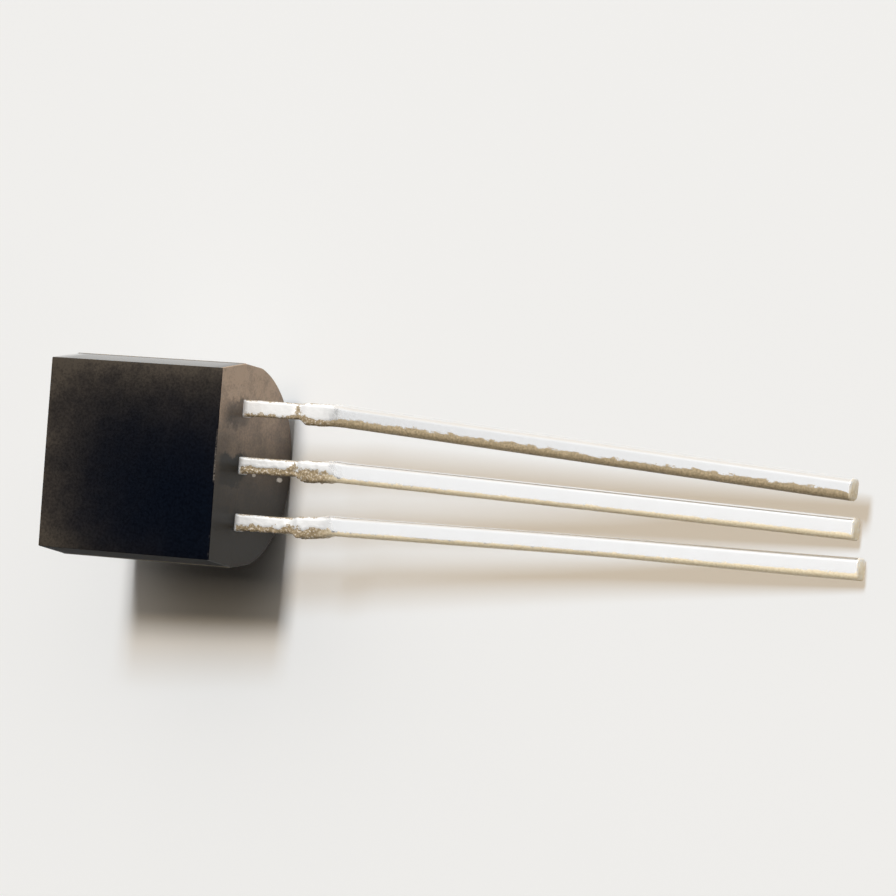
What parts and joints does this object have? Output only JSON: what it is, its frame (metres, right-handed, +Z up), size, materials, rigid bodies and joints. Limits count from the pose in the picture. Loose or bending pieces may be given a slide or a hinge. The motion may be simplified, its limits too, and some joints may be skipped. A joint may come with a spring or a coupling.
{
  "type": "radio receiver chip",
  "caption": "Radio receiver chip in a black moulded D-shaped case with a flat front and a round back, and stamped solder-dipped leads that converge towards their tips.",
  "frame": {"origin": "on the surface that the chip lies on, under the middle of its overall length and width", "axes": "+X from the case towards the lead tips, +Y towards the right lead as the flat front is seen with the leads pointing down, +Z up, with the flat front facing up"},
  "size_m": [0.0194, 0.0046, 0.004],
  "materials": {
    "epoxy": "satin black moulded epoxy",
    "dipped_metal": "bright solder-dipped strip, grainy near the case",
    "attach": "dull silver-filled adhesive",
    "silicon": "polished grey silicon",
    "gold_wire": "drawn gold"
  },
  "bodies": {
    "root": {"moulded_body": "epoxy", "lead_left": "dipped_metal", "lead_middle": "dipped_metal", "lead_right": "dipped_metal", "die_attach": "attach", "die": "silicon", "left_wire": "gold_wire", "right_wire": "gold_wire", "ground_wire": "gold_wire"}
  },
  "joints": []
}
